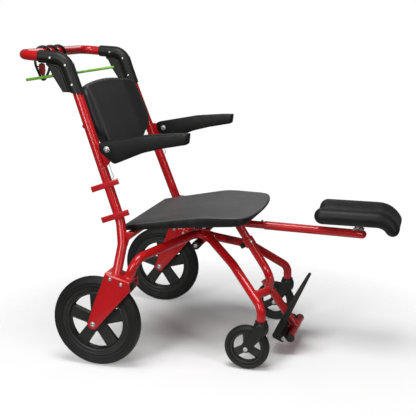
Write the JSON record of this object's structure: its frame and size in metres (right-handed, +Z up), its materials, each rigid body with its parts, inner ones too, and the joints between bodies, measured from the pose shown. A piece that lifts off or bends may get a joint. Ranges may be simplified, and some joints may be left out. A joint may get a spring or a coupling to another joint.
{
  "type": "transport wheelchair",
  "caption": "Nesting transport wheelchair: bent-tube frame, flip-up seat and armrests, hand brake bar, swivel casters and a slide-out leg support with a calf pad.",
  "frame": {"origin": "on the floor under the middle of the chair, leg support and handlebar included, the tether cord left out", "axes": "+X forward towards the footplates, +Y to the sitter's left, +Z up"},
  "size_m": [1.2496, 0.7586, 1.0366],
  "materials": {
    "red_frame": "gloss powder coat",
    "black_plastic": "fine moulded grain",
    "armrest_plastic": "moulded, satin",
    "seat_plastic": "charcoal, fine grain",
    "backrest_skin": "moulded foam skin",
    "pad_skin": "moulded foam skin, satin",
    "wheel_plastic": "moulded",
    "tyre": "smooth tread",
    "buffer_rubber": "matte",
    "steel": "zinc plated",
    "green_rod": "gloss coat",
    "cord": "braided jacket",
    "red_tag": "gloss"
  },
  "bodies": {
    "frame": {"back_tube_right": "red_frame", "back_tube_left": "red_frame", "under_tube_right": "red_frame", "under_tube_left": "red_frame", "handlebar": "red_frame", "seat_hinge_tube": "red_frame", "rear_fork_right": "red_frame", "rear_fork_left": "red_frame", "rear_axle_right": "steel", "rear_axle_left": "steel", "elbow_outer_right": "black_plastic", "elbow_outer_left": "black_plastic", "elbow_inner_right": "black_plastic", "elbow_inner_left": "black_plastic", "backrest_pad": "backrest_skin", "backrest_shell": "black_plastic", "backrest_rail": "red_frame", "arm_bolt_right": "steel", "arm_bolt_left": "steel", "seat_prop": "red_frame", "roller_pin": "steel", "centre_strut": "red_frame", "leg_stub": "red_frame", "strut_collar": "red_frame", "foot_bar": "red_frame", "foot_post": "red_frame", "foot_hinge_rod": "steel", "cord_winding": "cord", "cord_loop": "cord", "cord_tag": "red_tag"},
    "rear_wheel_right": {"rear_rim_right": "wheel_plastic", "rear_tyre_right": "tyre"},
    "rear_wheel_left": {"rear_rim_left": "wheel_plastic", "rear_tyre_left": "tyre"},
    "brake_right": {"brake_shoe_right": "buffer_rubber"},
    "brake_left": {"brake_shoe_left": "buffer_rubber"},
    "caster_right": {"caster_fork_right": "black_plastic", "caster_axle_right": "steel"},
    "caster_left": {"caster_fork_left": "black_plastic", "caster_axle_left": "steel"},
    "caster_wheel_right": {"caster_rim_right": "wheel_plastic", "caster_tyre_right": "tyre"},
    "caster_wheel_left": {"caster_rim_left": "wheel_plastic", "caster_tyre_left": "tyre"},
    "brake_lever": {"brake_bar": "green_rod"},
    "arm_right": {"armrest_right": "armrest_plastic"},
    "arm_left": {"armrest_left": "armrest_plastic"},
    "seat": {"seat_panel": "seat_plastic", "seat_hinge": "black_plastic"},
    "roller": {"nesting_roller": "buffer_rubber"},
    "button": {"snap_button": "black_plastic"},
    "leg_support": {"leg_sleeve": "red_frame", "pad_bracket": "steel"},
    "pad": {"pad_plate": "steel", "calf_pad": "pad_skin", "pad_knob": "black_plastic"},
    "lock_knob": {"pull_knob": "black_plastic"},
    "foot_right": {"footplate_right": "black_plastic"},
    "foot_left": {"footplate_left": "black_plastic"}
  },
  "joints": [
    {"name": "rear_wheel_right_spin", "type": "hinge", "parent": "frame", "child": "rear_wheel_right", "pos_m": [-0.32102, -0.334, 0.1525], "axis": [0, 1, 0], "continuous": true},
    {"name": "rear_wheel_left_spin", "type": "hinge", "parent": "frame", "child": "rear_wheel_left", "pos_m": [-0.32102, 0.334, 0.1525], "axis": [0, 1, 0], "continuous": true},
    {"name": "caster_right_swivel", "type": "hinge", "parent": "frame", "child": "caster_right", "pos_m": [0.21098, -0.238, 0.169], "axis": [0, 0, 1], "continuous": true},
    {"name": "caster_left_swivel", "type": "hinge", "parent": "frame", "child": "caster_left", "pos_m": [0.21098, 0.238, 0.169], "axis": [0, 0, 1], "continuous": true},
    {"name": "caster_wheel_right_spin", "type": "hinge", "parent": "caster_right", "child": "caster_wheel_right", "pos_m": [0.16498, -0.238, 0.075], "axis": [0, 1, 0], "continuous": true},
    {"name": "caster_wheel_left_spin", "type": "hinge", "parent": "caster_left", "child": "caster_wheel_left", "pos_m": [0.16498, 0.238, 0.075], "axis": [0, 1, 0], "continuous": true},
    {"name": "brake_lift", "type": "hinge", "parent": "frame", "child": "brake_lever", "pos_m": [-0.47502, 0, 0.946], "axis": [0, 1, 0], "range_deg": [0, 20], "stiffness_Nm_per_rad": 2},
    {"name": "brake_right_release", "type": "slide", "parent": "frame", "child": "brake_right", "axis": [0.4787, 0, 0.878], "range_m": [0, 0.0062]},
    {"name": "brake_left_release", "type": "slide", "parent": "frame", "child": "brake_left", "axis": [0.4787, 0, 0.878], "range_m": [0, 0.0062]},
    {"name": "arm_right_flip", "type": "hinge", "parent": "frame", "child": "arm_right", "pos_m": [-0.28502, -0.28, 0.719], "axis": [0, -1, 0], "range_deg": [0, 95]},
    {"name": "arm_left_flip", "type": "hinge", "parent": "frame", "child": "arm_left", "pos_m": [-0.28502, 0.28, 0.719], "axis": [0, -1, 0], "range_deg": [0, 95]},
    {"name": "seat_flip", "type": "hinge", "parent": "frame", "child": "seat", "pos_m": [-0.24902, 0, 0.417], "axis": [0, -1, 0], "range_deg": [0, 80]},
    {"name": "roller_spin", "type": "hinge", "parent": "frame", "child": "roller", "pos_m": [-0.06702, -0.0265, 0.35], "axis": [0, 1, 0], "continuous": true},
    {"name": "button_press", "type": "slide", "parent": "frame", "child": "button", "axis": [0, 0, -1], "range_m": [0, 0.004], "stiffness_N_per_m": 200},
    {"name": "leg_slide", "type": "slide", "parent": "frame", "child": "leg_support", "axis": [0.9997, 0, -0.0262], "range_m": [0, 0.12]},
    {"name": "pad_tilt", "type": "hinge", "parent": "leg_support", "child": "pad", "pos_m": [0.48998, 0, 0.452], "axis": [0, 1, 0], "range_deg": [-9, 9]},
    {"name": "lock_pull", "type": "slide", "parent": "frame", "child": "lock_knob", "axis": [-0.8349, 0, -0.5505], "range_m": [0, 0.006], "stiffness_N_per_m": 300},
    {"name": "foot_right_fold", "type": "hinge", "parent": "frame", "child": "foot_right", "pos_m": [0.26198, -0.0665, 0.065], "axis": [0, 1, 0], "range_deg": [0, 66]},
    {"name": "foot_left_fold", "type": "hinge", "parent": "frame", "child": "foot_left", "pos_m": [0.26198, 0.0665, 0.065], "axis": [0, 1, 0], "range_deg": [0, 66]}
  ],
  "couplings": [
    {"joint": "brake_right_release", "follows": "brake_lift", "m_per_rad": 0.0175},
    {"joint": "brake_left_release", "follows": "brake_lift", "m_per_rad": 0.0175}
  ]
}
